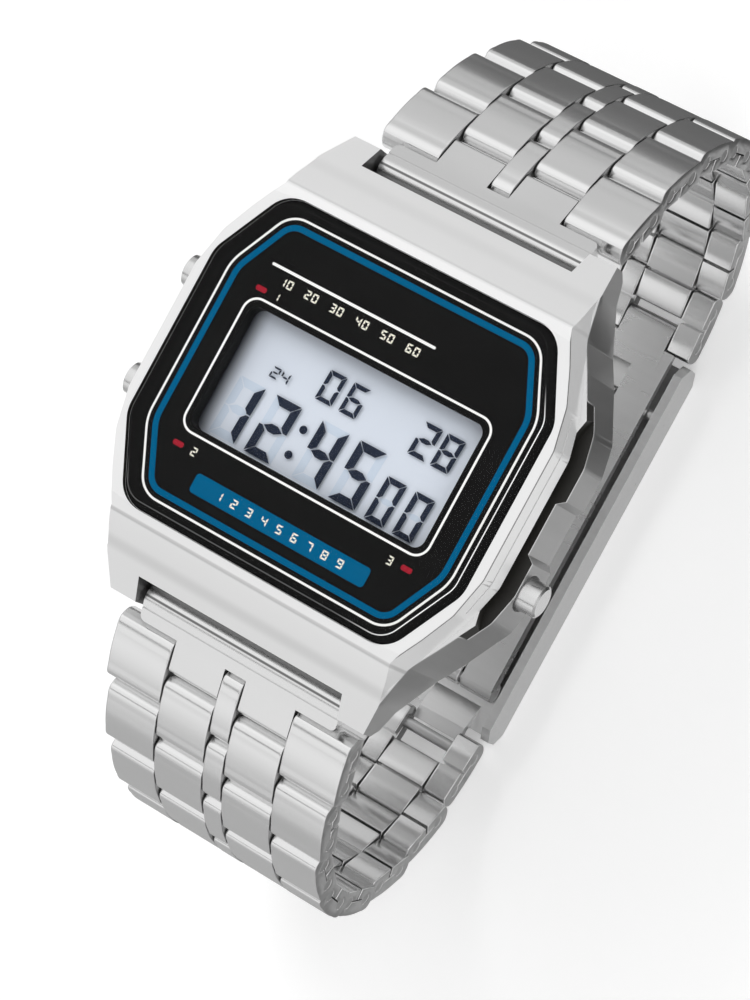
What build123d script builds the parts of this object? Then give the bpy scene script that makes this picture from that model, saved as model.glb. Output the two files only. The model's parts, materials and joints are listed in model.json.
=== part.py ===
from build123d import *
import os
from math import cos, radians, sin, sqrt

os.makedirs("parts", exist_ok=True)

# A digital wristwatch on a folded-link steel bracelet, standing closed on its clasp.
# X runs from 9 to 3 o'clock, Y from 6 to 12, Z out of the dial; the floor is at zero.
# Lengths are millimetres and angles degrees. A drop is measured down from the dial print.

# General fits
cut_over = 1.0              # overrun of a cut past the face it opens
slip_gap = 0.05             # between parts that drop into each other
side_gap = 0.1              # between neighbouring strips of the bracelet
pin_fit = 0.04              # radial clearance of a pin in its bore

# Case
case_width = 34.2           # over the button guards
guard_proud = 1.7           # a guard past the top edge of the bezel
tip_reach = 0.95            # a lug tip past its spring bar
slot_mouth = 0.9            # spring bar to the case edge between the lugs
slot_back = 1.35            # spring bar to the wall under that edge, cut back for the end link's tube
slot_lip = 1.1              # thickness of the edge over the tube
rim_rise = 0.5              # bezel top above the dial print
skirt_drop = 2.1            # lower edge of the bezel skirt
line_drop = 0.75            # groove along each side of the skirt
line_wide = 0.16
line_deep = 0.14
line_half = 7.6
shoulder_drop = 3.3         # top of the lower wall
foot_drop = 6.6             # widest level of the lower wall
base_drop = 7.4             # underside of the case
base_tuck = 0.7             # how far the underside is tucked in
corner_round = 2.0          # rounding of the side corners in plan
crease_one = 5.4            # lug tip to the first crease of the shoulder
crease_one_rise = 0.2
crease_two = 3.2            # lug tip to the second
crease_two_drop = 1.7
tip_drop = 4.4              # upper edge of a lug tip
tip_face = 1.5              # upright face of a lug tip
tip_heel = 1.3              # length of the slope under a lug tip
crescent_half = 9.2         # half length of the dark recess in each side
crescent_depth = 1.2        # its depth under the skirt at three o'clock
guard_recess = 0.6          # how far the wall steps in between two guards
recess_half = 2.0           # half length of that step
recess_slope = 0.45         # length of each sloped end of the step

# Glass, printed plate and display
rim_wide = 1.05             # bezel on each side of the glass
shoulder_long = 6.45        # lug tip to the glass
glass_corner_x = 3.8        # corner cut along X
glass_corner_y = 5.3        # corner cut along Y
glass_round = 1.2
glass_thick = 0.95
glass_bevel = 0.4
glass_bond = 0.05           # adhesive under the glass
seat_ledge = 0.6            # ledge that carries the glass
plate_thick = 1.3           # the mask and the frame moulded under it
window_side = 4.25          # glass edge to the window at three and nine o'clock
window_over = 7.9           # at twelve
window_under = 6.85         # and at six
window_round = 0.8
lcd_side = 1.2              # display past the window at three and nine o'clock
lcd_end = 1.425             # and at twelve and six
lcd_sheet = 0.5             # each of the two sheets of the display
lcd_step = 1.4              # ledge of the front sheet that takes the contacts
guide_side = 1.5            # display past the light guide at three and nine o'clock
guide_end = 2.0             # and at twelve and six
guide_thick = 0.7
guide_shift = 0.5           # light guide off centre, to leave room for the lamp
lamp_wide = 1.2
lamp_long = 1.6
strip_wide = 1.0
strip_end = 1.8             # display past each end of a strip

# Module
tray_side = 0.6             # display to the module's side walls
tray_end = 3.6              # and to its end walls
cavity_corner = 3.2
module_gap = 0.3            # around the module in its cavity
module_wall = 0.8
board_gap = 0.25            # light guide to circuit board
board_thick = 0.6
chip_dia = 6.0
chip_thick = 0.4
deck_thick = 0.6            # floor of the module between board and battery
battery_end = 1.0           # battery to the cavity's ends
battery_thick = 1.6
battery_step = 0.35         # the negative can is this much smaller all round
battery_cap = 0.3
clamp_thick = 0.2
clamp_width = 7.0
clamp_hole = 4.0
quartz_dia = 1.2
quartz_long = 3.8
quartz_side = 5.0           # quartz can to the cavity's side
quartz_end = 1.7            # and to its end

# Case back
back_margin = 1.4           # around the cavity
back_corner = 1.2
back_thick = 0.75
back_proud = 0.3
gasket_wide = 0.6
gasket_high = 0.45
gasket_inset = 0.35
screw_inset = 1.45          # from the edges of the case back
screw_dia = 1.0
screw_long = 2.2
screw_head_dia = 1.9
screw_head_high = 0.35
screw_slot = 0.3
screw_slot_deep = 0.15
buzzer_inset = 2.0          # inside the outline of the battery
buzzer_thick = 0.2
ceramic_inset = 2.0
ceramic_thick = 0.12

# Push buttons
button_y = 4.5
button_drop = 4.9
button_proud = 1.1          # a button past the guards
button_head_dia = 2.5
button_head_long = 1.95
button_shaft_dia = 1.24
button_shaft_long = 4.05
button_travel = 0.7
head_round = 0.2
well_dia = 2.9              # well in the guard
well_deep = 2.5
seal_bore = 2.2
seal_deep = 0.5
seal_wire = 0.4
clip_dia = 2.0
clip_thick = 0.2
spring_wire = 0.18
spring_turns = 3

# Spring bars and end links
bar_reach = 17.75           # dial centre to a spring bar
bar_drop = 6.0
bar_dia = 1.3
bar_pivot_dia = 0.8
bar_pivot_long = 0.8
tube_dia = 2.2
end_dip = 28.0              # how far an end link dips below level
end_reach = 3.3             # spring bar to the first bracelet pin
end_width = 17.6
end_gap = 0.25              # end link to a lug
end_round = 0.5             # rounded corners of its plate
fold_wide = 0.14            # fold line between its tube and its plate
fold_deep = 0.18
fold_reach = 0.62           # spring bar to the fold line
end_under = 0.7             # underside of an end link below its pin line
aligned_share = 0.99        # cosine above which an edge counts as square to its plate

# Bracelet
link_pitch = 6.0            # one link and its gap
link_count = 15             # half-pitch links in each half of the bracelet
link_high = 2.0
link_gap = 0.12
link_crown = 0.28           # rise of a link's middle over its edges
edge_round = 0.5
seam_gap = 0.3              # seam of the folded sheet, on the wrist side
pin_dia = 1.0
pin_inset = 0.25            # pin end inside the outer link's side
centre_width = 1.7
inner_width = 4.4
outer_width = 4.95          # outer link next to the case
outer_last = 2.1            # outer link next to the clasp
clasp_reach = 19.0          # dial centre to the pins at the clasp

# Clasp
clasp_pin_rise = 2.4        # bracelet pins above the floor at the clasp
cover_width = 15.8
cover_plate = 0.8
cover_wall = 0.8
cover_high = 3.4
cover_gap = 0.35            # between the cover and the round end of the last link
cover_bend = 1.0            # bevel along the cover's lower ends
eye_dia = 1.7
eye_rise = 1.75             # cover hinge above the floor
knee_rise = 1.9             # hinge between the two blades above the floor
hinge_pin_dia = 0.9
cover_hinge_reach = 12.5
knee_reach = 13.5
blade_thick = 0.6
middle_width = 6.0
rail_width = 2.9
rail_gap = 0.35
rail_rise = 2.5             # underside of the lower blade's rails above the floor
rail_bridge = 2.0           # length of the bridge that joins the rails
tab_thick = 0.8             # two tabs at the cover's end, beside the last pin
tab_root = 1.2              # length of a tab on the cover's plate
tab_gap = 0.15              # from a tab to the pin, the one pivot that is open

# Sizes that follow
half_width = case_width / 2
half_bezel = half_width - guard_proud
half_span = bar_reach + tip_reach
lug_gap = end_width + 2 * end_gap
glass_width = 2 * (half_bezel - rim_wide)
glass_height = 2 * (half_span - shoulder_long)
window_half = glass_width / 2 - window_side
window_top = glass_height / 2 - window_over
window_foot = glass_height / 2 - window_under
lcd_width = 2 * (window_half + lcd_side)
lcd_height = window_top + window_foot + 2 * lcd_end
guide_width = lcd_width - 2 * guide_side
guide_height = lcd_height - 2 * guide_end
cavity_width = lcd_width + 2 * (tray_side + module_wall + module_gap)
cavity_height = lcd_height + 2 * (tray_end + module_wall + module_gap)
battery_dia = cavity_height - 2 * battery_end
buzzer_dia = battery_dia - 2 * buzzer_inset
quartz_x = cavity_width / 2 - quartz_side
quartz_y = cavity_height / 2 - quartz_end
back_width = cavity_width + 2 * back_margin
back_height = cavity_height + 2 * back_margin
screw_x = back_width / 2 - screw_inset
screw_y = back_height / 2 - screw_inset
button_out = half_width + button_proud
well_floor = half_width - well_deep
half_pitch = link_pitch / 2
end_radius = half_pitch / 2 - link_gap / 2
half_high = link_high / 2
centre_half = centre_width / 2
inner_from = centre_half + side_gap
inner_to = inner_from + inner_width
outer_from = inner_to + side_gap
pin_radius = pin_dia / 2
bore_radius = pin_radius + pin_fit
half_turn = 180.0
lcd_drop = plate_thick + slip_gap
guide_drop = lcd_drop + 2 * lcd_sheet + slip_gap
board_drop = guide_drop + guide_thick + board_gap
deck_drop = board_drop + board_thick + slip_gap
battery_drop = deck_drop + deck_thick + slip_gap
module_foot = battery_drop + battery_thick + slip_gap
clamp_drop = module_foot + slip_gap
back_seat = base_drop + back_proud - back_thick
module_width = cavity_width - 2 * module_gap


def walk(bend_power):
    """Pins of one half of the bracelet, as (reach, drop), and the dip of each link."""
    dips = [end_dip]
    for step in range(link_count):
        share = (step + 1) / (link_count + 1)
        dips.append(end_dip + (half_turn - end_dip) * share ** bend_power)
    reach = bar_reach + end_reach * cos(radians(end_dip))
    drop = bar_drop + end_reach * sin(radians(end_dip))
    pins = [(reach, drop)]
    for dip in dips[1:]:
        reach += half_pitch * cos(radians(dip))
        drop += half_pitch * sin(radians(dip))
        pins.append((reach, drop))
    return pins, dips + [half_turn]


# The bend of the bracelet is eased along it until its last pin meets the clasp.
low_share = 0.3
high_share = 4.0
for halving in range(40):
    bend_share = (low_share + high_share) / 2
    if walk(bend_share)[0][-1][0] < clasp_reach:
        low_share = bend_share
    else:
        high_share = bend_share
pins, dips = walk(bend_share)
dial_z = pins[-1][1] + clasp_pin_rise


def level(drop):
    """Height above the floor of something this far below the dial print."""
    return dial_z - drop


def flat(drop):
    """A level plane this far below the dial print."""
    return Plane.XY.offset(level(drop))


def cut_corners(width, height, cut_x, cut_y, grow=0, mode=Mode.ADD):
    """A rectangle with its corners cut off, grown evenly all round, in the current sketch."""
    slant = sqrt(cut_x ** 2 + cut_y ** 2)
    x = width / 2 + grow
    y = height / 2 + grow
    cx = cut_x + grow - grow * (slant - cut_x) / cut_y
    cy = cut_y + grow - grow * (slant - cut_y) / cut_x
    right = [(x - cx, y), (x, y - cy), (x, cy - y), (x - cx, -y)]
    Polygon(*right, *[(-px, py) for px, py in reversed(right)], align=None, mode=mode)


def glass_outline(grow=0):
    """Outline of the glass with rounded corners, grown evenly all round, in the current sketch."""
    cut_corners(glass_width, glass_height, glass_corner_x, glass_corner_y, grow)
    fillet(vertices(), radius=glass_round + grow)


def cavity_outline(grow=0, mode=Mode.ADD):
    cut_corners(cavity_width, cavity_height, cavity_corner, cavity_corner, grow, mode)


# Quarter outlines from a lug tip round to three o'clock, as shares of the half width and the half span
wall_y_shares = [1.0, 0.877, 0.690, 0.590, 0.400, 0.270]
foot_shares = [0.661, 0.696, 0.795, 0.862, 0.972, 1.0]
wall_shares = [0.665, 0.704, 0.746, 0.812, 0.930, 0.965]
skirt_y_shares = [1.0, 0.800, 0.700, 0.567, 0.436, 0.270]
rim_shares = [0.742, 0.778, 0.792, 0.880, 0.955, 1.0]
skirt_shares = [0.752, 0.795, 0.830, 0.905, 0.977, 1.029]
side_share = 0.5            # corners nearer to three and nine o'clock than this are rounded


def case_outline(x_shares, y_shares, half_x, grow=0, mode=Mode.ADD):
    """A case outline with rounded side corners, grown evenly all round, in the current sketch."""
    quarter = [(half_x * sx, half_span * sy) for sx, sy in zip(x_shares, y_shares)]
    right = quarter + [(x, -y) for x, y in reversed(quarter)]
    with BuildSketch() as outline:
        Polygon(*right, *[(-x, y) for x, y in reversed(right)], align=None)
        fillet([v for v in vertices() if abs(v.Y) < half_span * side_share], radius=corner_round)
        if grow:
            offset(amount=grow, kind=Kind.INTERSECTION, mode=Mode.REPLACE)
    add(outline.sketch, mode=mode)


# Case: machined steel body with bezel, skirt, lower wall and four lugs
with BuildPart() as bezel:
    with BuildSketch(flat(-rim_rise)):
        case_outline(rim_shares, skirt_y_shares, half_bezel)
    with BuildSketch(flat(skirt_drop)):
        case_outline(skirt_shares, skirt_y_shares, half_bezel)
    loft(ruled=True)
with BuildPart() as lower_wall:
    with BuildSketch(flat(skirt_drop)):
        case_outline(wall_shares, wall_y_shares, half_width)
    with BuildSketch(flat(foot_drop)):
        case_outline(foot_shares, wall_y_shares, half_width)
    loft(ruled=True)
with BuildPart() as underside:
    with BuildSketch(flat(foot_drop)):
        case_outline(foot_shares, wall_y_shares, half_width)
    with BuildSketch(flat(base_drop)):
        case_outline(foot_shares, wall_y_shares, half_width, -base_tuck)
    loft(ruled=True)
with BuildPart() as shoulders:
    with BuildSketch(Plane.YZ):
        half_side = [(glass_height / 2, level(-rim_rise)), (half_span - crease_one, level(-crease_one_rise)),
                     (half_span - crease_two, level(crease_two_drop)), (half_span, level(tip_drop)),
                     (half_span, level(tip_drop + tip_face)), (half_span - tip_heel, level(base_drop))]
        with BuildLine():
            Polyline(*half_side, *[(-y, z) for y, z in reversed(half_side)], close=True)
        make_face()
    extrude(amount=case_width, both=True)
with BuildPart() as case:
    add(bezel.part)
    add(lower_wall.part)
    add(underside.part)
    add(shoulders.part, mode=Mode.INTERSECT)
    # groove along each side of the skirt
    line_share = (line_drop + rim_rise) / (skirt_drop + rim_rise)
    line_shares = [low + (high - low) * line_share for low, high in zip(rim_shares, skirt_shares)]
    with BuildSketch(flat(line_drop + line_wide)):
        Rectangle(2 * case_width, 2 * line_half)
        case_outline(line_shares, skirt_y_shares, half_bezel, -line_deep, Mode.SUBTRACT)
    extrude(amount=line_wide, mode=Mode.SUBTRACT)
    # dark crescent between skirt and lower wall, deepest at three and nine o'clock
    with BuildSketch(flat(shoulder_drop)):
        edge_x = half_bezel * skirt_shares[-1]
        far_x = half_width + cut_over
        with BuildLine():
            ThreePointArc((edge_x, -crescent_half), (edge_x - crescent_depth, 0), (edge_x, crescent_half))
            Polyline((edge_x, crescent_half), (far_x, crescent_half), (far_x, -crescent_half),
                     (edge_x, -crescent_half))
        make_face()
        mirror(about=Plane.YZ)
    extrude(amount=shoulder_drop - skirt_drop, mode=Mode.SUBTRACT)
    # step between the two guards on each side
    for out in (1, -1):
        with BuildPart(mode=Mode.PRIVATE) as guard_step:
            for drop, share in ((skirt_drop, wall_shares[-1]), (foot_drop, foot_shares[-1])):
                step_x = half_width * share - guard_recess
                out_x = half_width + cut_over
                out_y = recess_half + recess_slope * (out_x - step_x) / guard_recess
                with BuildSketch(flat(drop)):
                    Polygon((out * out_x, out_y), (out * step_x, recess_half), (out * step_x, -recess_half),
                            (out * out_x, -out_y), align=None)
            loft(ruled=True)
            extrude(guard_step.faces().sort_by(Axis.Z)[0], amount=base_drop - foot_drop + cut_over)
        add(guard_step.part, mode=Mode.SUBTRACT)
    # slots for the end links, cut back under their edge, and the blind holes of the spring bars
    for mouth, drop in ((slot_mouth, -cut_over), (slot_back, crease_two_drop + slot_lip + cut_over)):
        with BuildSketch(flat(base_drop + cut_over)):
            with Locations((0, half_span), (0, -half_span)):
                Rectangle(lug_gap, 2 * (tip_reach + mouth))
        extrude(amount=base_drop + cut_over - drop, mode=Mode.SUBTRACT)
    with BuildSketch(Plane.YZ):
        with Locations((bar_reach, level(bar_drop)), (-bar_reach, level(bar_drop))):
            Circle(bar_pivot_dia / 2 + pin_fit)
    extrude(amount=lug_gap / 2 + bar_pivot_long, both=True, mode=Mode.SUBTRACT)
    # seat of the glass, opening of the printed plate, cavity of the module
    with BuildSketch(flat(0)):
        glass_outline(slip_gap)
    extrude(amount=rim_rise + cut_over, mode=Mode.SUBTRACT)
    with BuildSketch(flat(plate_thick)):
        glass_outline(-seat_ledge)
    extrude(amount=plate_thick, mode=Mode.SUBTRACT)
    with BuildSketch(flat(base_drop)):
        cavity_outline()
    extrude(amount=base_drop - plate_thick, mode=Mode.SUBTRACT)
    # seat of the case back, gasket groove and screw holes
    with BuildSketch(flat(base_drop)):
        cut_corners(back_width, back_height, back_corner, back_corner, slip_gap)
    extrude(amount=base_drop - back_seat, mode=Mode.SUBTRACT)
    with BuildSketch(flat(back_seat)):
        cavity_outline(gasket_inset + gasket_wide + slip_gap)
        cavity_outline(gasket_inset - slip_gap, Mode.SUBTRACT)
    extrude(amount=gasket_high + slip_gap, mode=Mode.SUBTRACT)
    with BuildSketch(flat(back_seat)):
        with GridLocations(2 * screw_x, 2 * screw_y, 2, 2):
            Circle(screw_dia / 2 + pin_fit)
    extrude(amount=screw_long, mode=Mode.SUBTRACT)
    # wells, seal seats and shaft holes of the buttons: two at nine o'clock, one at three
    for out in (1, -1):
        rows = (-button_y,) if out > 0 else (button_y, -button_y)
        spots = [(out * y, level(button_drop)) for y in rows]
        steps = [(well_floor, half_width + cut_over - well_floor, well_dia / 2),
                 (well_floor - seal_deep, seal_deep, seal_bore / 2),
                 (cavity_width / 2, well_floor - seal_deep - cavity_width / 2,
                  button_shaft_dia / 2 + pin_fit)]
        for start, length, radius in steps:
            with BuildSketch(Plane(origin=(out * start, 0, 0), x_dir=(0, out, 0), z_dir=(out, 0, 0))):
                with Locations(*spots):
                    Circle(radius)
            extrude(amount=length, mode=Mode.SUBTRACT)

# Glass: flat mineral glass with a bevelled edge, bonded to its ledge
with BuildPart() as glass:
    with BuildSketch(flat(-glass_bond)):
        glass_outline()
    extrude(amount=glass_thick)
    chamfer(glass.faces().sort_by(Axis.Z)[-1].edges(), glass_bevel)

# Printed plate: the black mask with the display's window
with BuildPart() as dial_plate:
    with BuildSketch(flat(plate_thick)):
        glass_outline(-seat_ledge - slip_gap)
        with Locations((0, (window_top - window_foot) / 2)):
            RectangleRounded(2 * window_half, window_top + window_foot, window_round, mode=Mode.SUBTRACT)
    extrude(amount=plate_thick)

# Display: two sheets of glass, the front one with a ledge along each long side
with BuildPart() as lcd_panel:
    with BuildSketch(flat(lcd_drop)):
        Rectangle(lcd_width, lcd_height)
    extrude(amount=-lcd_sheet)
    with BuildSketch(flat(lcd_drop + lcd_sheet)):
        Rectangle(lcd_width, lcd_height - 2 * lcd_step)
    extrude(amount=-lcd_sheet)

# Light guide behind the display, wedge-ended towards the lamp
with BuildPart() as light_guide:
    with BuildSketch(flat(guide_drop)):
        with Locations((guide_shift, 0)):
            Rectangle(guide_width, guide_height)
    extrude(amount=-guide_thick)
    chamfer(light_guide.edges().filter_by(Axis.Y).group_by(Axis.X)[-1].sort_by(Axis.Z)[:1], guide_thick / 2)

# Lamp on the board, at the end of the light guide
with BuildPart() as lamp:
    lamp_x = guide_shift - guide_width / 2 - slip_gap - lamp_wide
    with BuildSketch(flat(board_drop)):
        with Locations((lamp_x + lamp_wide / 2, 0)):
            Rectangle(lamp_wide, lamp_long)
    extrude(amount=guide_thick)
    fillet(lamp.edges().filter_by(Axis.Y).group_by(Axis.Z)[-1], radius=guide_thick / 4)

# Contact strips between the display's ledges and the board
with BuildPart() as contact_strips:
    with BuildSketch(flat(board_drop)):
        with GridLocations(0, lcd_height - lcd_step, 1, 2):
            Rectangle(lcd_width - 2 * strip_end, strip_wide)
    extrude(amount=board_drop - lcd_drop - lcd_sheet)

# Module frame: moulded tray that holds display and board above, battery below
with BuildPart() as module_frame:
    with BuildSketch(flat(module_foot)):
        cavity_outline(-module_gap)
    extrude(amount=module_foot - lcd_drop)
    with BuildSketch(flat(deck_drop)):
        cavity_outline(-module_gap - module_wall)
    extrude(amount=deck_drop, mode=Mode.SUBTRACT)
    with BuildSketch(flat(module_foot)):
        Circle(battery_dia / 2 + slip_gap)
    extrude(amount=module_foot - battery_drop + slip_gap, mode=Mode.SUBTRACT)
    with BuildSketch(flat(module_foot)):
        Circle(chip_dia / 2 + slip_gap)
        with Locations((quartz_x, quartz_y)):
            Rectangle(quartz_long + 2 * slip_gap, quartz_dia + 2 * slip_gap)
    extrude(amount=module_foot - deck_drop, mode=Mode.SUBTRACT)
    # bays for the inner ends of the buttons
    bay_x = cavity_width / 2
    bay_depth = bay_x - (button_out - button_head_long - button_shaft_long - button_travel) + slip_gap
    with BuildSketch(flat(module_foot)):
        with Locations((-bay_x, button_y), (-bay_x, -button_y), (bay_x, -button_y)):
            Rectangle(2 * bay_depth, clip_dia + 4 * slip_gap)
    extrude(amount=module_foot - button_drop + clip_dia / 2 + slip_gap, mode=Mode.SUBTRACT)

# Circuit board with its covered chip on the underside
with BuildPart() as circuit_board:
    with BuildSketch(flat(board_drop + board_thick)):
        cavity_outline(-module_gap - module_wall - slip_gap)
    extrude(amount=board_thick)
    with BuildSketch(flat(board_drop + board_thick)):
        Circle(chip_dia / 2)
    extrude(amount=-chip_thick)

# Quartz: the crystal's can, lying in the corner of the module
with BuildPart() as quartz_can:
    quartz_plane = Plane(origin=(quartz_x - quartz_long / 2, quartz_y, level(deck_drop + quartz_dia / 2)),
                         x_dir=(0, 1, 0), z_dir=(1, 0, 0))
    with BuildSketch(quartz_plane):
        Circle(quartz_dia / 2)
    extrude(amount=quartz_long)

# Battery: button cell, its smaller negative can upwards
with BuildPart() as battery:
    with BuildSketch(flat(battery_drop + battery_thick)):
        Circle(battery_dia / 2)
    extrude(amount=battery_thick - battery_cap)
    with BuildSketch(flat(battery_drop + battery_cap)):
        Circle(battery_dia / 2 - battery_step)
    extrude(amount=battery_cap)

# Battery clamp: sprung strap across the cell
with BuildPart() as battery_clamp:
    with BuildSketch(flat(clamp_drop + clamp_thick)):
        Rectangle(module_width - 2 * module_wall, clamp_width)
        Circle(clamp_hole / 2, mode=Mode.SUBTRACT)
    extrude(amount=clamp_thick)

# Case back: pressed steel plate with four counterbored screw holes
with BuildPart() as case_back:
    with BuildSketch(flat(back_seat + back_thick)):
        cut_corners(back_width, back_height, back_corner, back_corner)
    extrude(amount=back_thick)
    chamfer(case_back.faces().sort_by(Axis.Z)[0].edges(), back_proud / 2)
    with Locations(Plane(origin=(0, 0, level(back_seat + back_thick)), z_dir=(0, 0, -1))):
        with GridLocations(2 * screw_x, 2 * screw_y, 2, 2):
            CounterBoreHole(screw_dia / 2 + pin_fit, screw_head_dia / 2 + pin_fit, screw_head_high + slip_gap)

# Screws of the case back, slotted cheese heads
with BuildPart() as back_screws:
    head_drop = back_seat + back_thick - slip_gap
    with BuildSketch(flat(head_drop)):
        with GridLocations(2 * screw_x, 2 * screw_y, 2, 2):
            Circle(screw_head_dia / 2)
    extrude(amount=screw_head_high)
    with BuildSketch(flat(head_drop)):
        with GridLocations(2 * screw_x, 2 * screw_y, 2, 2):
            Circle(screw_dia / 2)
    extrude(amount=screw_long)
    with BuildSketch(flat(head_drop)):
        with GridLocations(2 * screw_x, 2 * screw_y, 2, 2):
            Rectangle(screw_head_dia, screw_slot)
    extrude(amount=screw_slot_deep, mode=Mode.SUBTRACT)

# Gasket of the case back, in its groove
with BuildPart() as back_gasket:
    with BuildSketch(flat(back_seat)):
        cavity_outline(gasket_inset + gasket_wide)
        cavity_outline(gasket_inset, Mode.SUBTRACT)
    extrude(amount=gasket_high)

# Buzzer: brass disc with its ceramic, bonded inside the case back
with BuildPart() as buzzer_disc:
    with BuildSketch(flat(back_seat)):
        Circle(buzzer_dia / 2)
    extrude(amount=buzzer_thick)
    with BuildSketch(flat(back_seat - buzzer_thick)):
        Circle(buzzer_dia / 2 - ceramic_inset)
    extrude(amount=ceramic_thick)

# Push buttons: head, shaft and retaining clip; each slides in its guard
button_spots = {"light_button": (-1, button_y), "mode_button": (-1, -button_y),
                "start_button": (1, -button_y)}
shaft_end = button_out - button_head_long - button_shaft_long


def button_plane(name, reach):
    """A plane across a button's axis, facing outwards, this far from the dial centre."""
    out, y = button_spots[name]
    return Plane(origin=(out * reach, y, level(button_drop)), x_dir=(0, out, 0), z_dir=(out, 0, 0))


buttons = {}
button_springs = {}
for name in button_spots:
    with BuildPart() as button:
        with BuildSketch(button_plane(name, shaft_end)):
            Circle(button_shaft_dia / 2)
        extrude(amount=button_shaft_long)
        with BuildSketch(button_plane(name, button_out - button_head_long)):
            Circle(button_head_dia / 2)
        extrude(amount=button_head_long)
        rims = button.edges().filter_by(GeomType.CIRCLE).sort_by(Axis.X)
        fillet(rims[-1 if button_spots[name][0] > 0 else 0], radius=head_round)
        with BuildSketch(button_plane(name, cavity_width / 2 - slip_gap - clip_thick)):
            Circle(clip_dia / 2)
        extrude(amount=clip_thick)
    buttons[name] = button.part
    spring_long = button_out - button_head_long - well_floor - 2 * slip_gap
    with BuildPart() as spring:
        spring_radius = (seal_bore + well_dia) / 4
        start = button_plane(name, well_floor + slip_gap + spring_wire / 2)
        with BuildLine() as coil:
            Helix(pitch=(spring_long - spring_wire) / spring_turns, height=spring_long - spring_wire,
                  radius=spring_radius, center=start.origin, direction=start.z_dir)
        with BuildSketch(Plane(origin=coil.line @ 0, z_dir=coil.line % 0)):
            Rectangle(spring_wire, spring_wire)
        sweep(path=coil.line, is_frenet=True)
    button_springs[name + "_spring"] = spring.part

# Seals of the button shafts, one ring in each seal seat
with BuildPart() as button_seals:
    for name in button_spots:
        seal_plane = button_plane(name, well_floor - seal_deep / 2)
        seal_mean = button_shaft_dia / 2 + pin_fit + seal_wire / 2
        with BuildSketch(Plane(origin=seal_plane.origin, x_dir=seal_plane.x_dir, z_dir=seal_plane.y_dir)):
            with Locations((seal_mean, 0)):
                RegularPolygon(seal_wire / 2, side_count=8)
        revolve(axis=Axis(seal_plane.origin, seal_plane.z_dir))


def side_plane(half, reach, drop, dip, across=0):
    """A plane across the bracelet: x along it away from the case, y outwards, this far across."""
    run = (0, half * cos(radians(dip)), -sin(radians(dip)))
    return Plane(origin=(half * across, half * reach, level(drop)), x_dir=run, z_dir=(half, 0, 0))


def strip_starts(spans):
    """Where strips on both sides start, for extrusion towards larger x."""
    return [start for low, high in spans for start in (low, -high)]


# Spring bars, sprung ends in the blind holes of the lugs
spring_bars = {}
for half, hour in ((1, "12"), (-1, "6")):
    with BuildPart() as spring_bar:
        bar_plane = side_plane(half, bar_reach, bar_drop, 0)
        with BuildSketch(bar_plane):
            Circle(bar_dia / 2)
        extrude(amount=lug_gap / 2 - side_gap, both=True)
        with BuildSketch(bar_plane):
            Circle(bar_pivot_dia / 2)
        extrude(amount=lug_gap / 2 + bar_pivot_long - side_gap, both=True)
    spring_bars["spring_bar_" + hour] = spring_bar.part


# End links: a tube on the spring bar, a plate, and two fingers that carry the first pin
end_links = {}
for half, hour in ((1, "12"), (-1, "6")):
    notch = end_reach - end_radius - link_gap
    reach_edge = sqrt(end_radius ** 2 - half_high ** 2)
    with BuildPart() as end_link:
        with BuildSketch(side_plane(half, bar_reach, bar_drop, end_dip)):
            Circle(tube_dia / 2)
            with BuildLine():
                Polyline((0, tube_dia / 2), (notch, half_high), (notch, -end_under), (0, -end_under),
                         close=True)
            make_face()
        extrude(amount=end_width / 2, both=True)
        for start in strip_starts([(inner_from, inner_to)]):
            with BuildSketch(side_plane(half, bar_reach, bar_drop, end_dip, start)):
                with BuildLine():
                    edge_u = end_reach + reach_edge
                    Line((0, half_high), (edge_u, half_high))
                    ThreePointArc((edge_u, half_high), (end_reach + end_radius, 0), (edge_u, -half_high))
                    Polyline((edge_u, -half_high), (notch, -half_high), (0, -end_under), (0, half_high))
                make_face()
                tops = [v for v in vertices() if v.Y > 0 and v.X > end_reach]
                fillet(tops, radius=edge_round)
            extrude(amount=inner_width)
        with BuildSketch(side_plane(half, bar_reach, bar_drop, end_dip)):
            Circle(bar_dia / 2 + pin_fit)
            with Locations((end_reach, 0)):
                Circle(bore_radius)
        extrude(amount=end_width / 2, both=True, mode=Mode.SUBTRACT)
        # rounded corners of the plate, fold line, slot for the first centre link
        outward = side_plane(half, bar_reach, bar_drop, end_dip).y_dir
        corners = end_link.edges().filter_by(lambda e: abs(e.tangent_at(0).dot(outward)) > aligned_share)
        fillet([e for e in corners if abs(e.center().X) > end_width / 2 - side_gap
                and abs(e.center().Y) > bar_reach + end_round], radius=end_round)
        with BuildSketch(side_plane(half, bar_reach, bar_drop, end_dip)):
            with Locations((fold_reach, tube_dia / 2)):
                Rectangle(fold_wide, 2 * fold_deep)
        extrude(amount=end_width / 2, both=True, mode=Mode.SUBTRACT)
        with BuildSketch(side_plane(half, bar_reach, bar_drop, end_dip)):
            with Locations((notch + end_radius, 0)):
                Rectangle(2 * end_radius, 2 * link_high)
        extrude(amount=inner_from, both=True, mode=Mode.SUBTRACT)
    end_links["end_link_" + hour] = end_link.part


# Side view of a folded link: crowned top, round ends, hollow and seam
with BuildSketch() as link_side:
    pin_u = half_pitch / 2
    edge_u = pin_u + sqrt(end_radius ** 2 - half_high ** 2)
    tip_u = pin_u + end_radius
    with BuildLine():
        ThreePointArc((-edge_u, half_high), (0, half_high + link_crown), (edge_u, half_high))
        ThreePointArc((edge_u, half_high), (tip_u, 0), (edge_u, -half_high))
        Line((edge_u, -half_high), (-edge_u, -half_high))
        ThreePointArc((-edge_u, -half_high), (-tip_u, 0), (-edge_u, half_high))
    make_face()
    fillet([v for v in vertices() if v.Y > 0], radius=edge_round)
    SlotCenterToCenter(half_pitch, 2 * bore_radius, mode=Mode.SUBTRACT)
    with Locations((0, -half_high)):
        Rectangle(seam_gap, link_high, mode=Mode.SUBTRACT)


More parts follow.
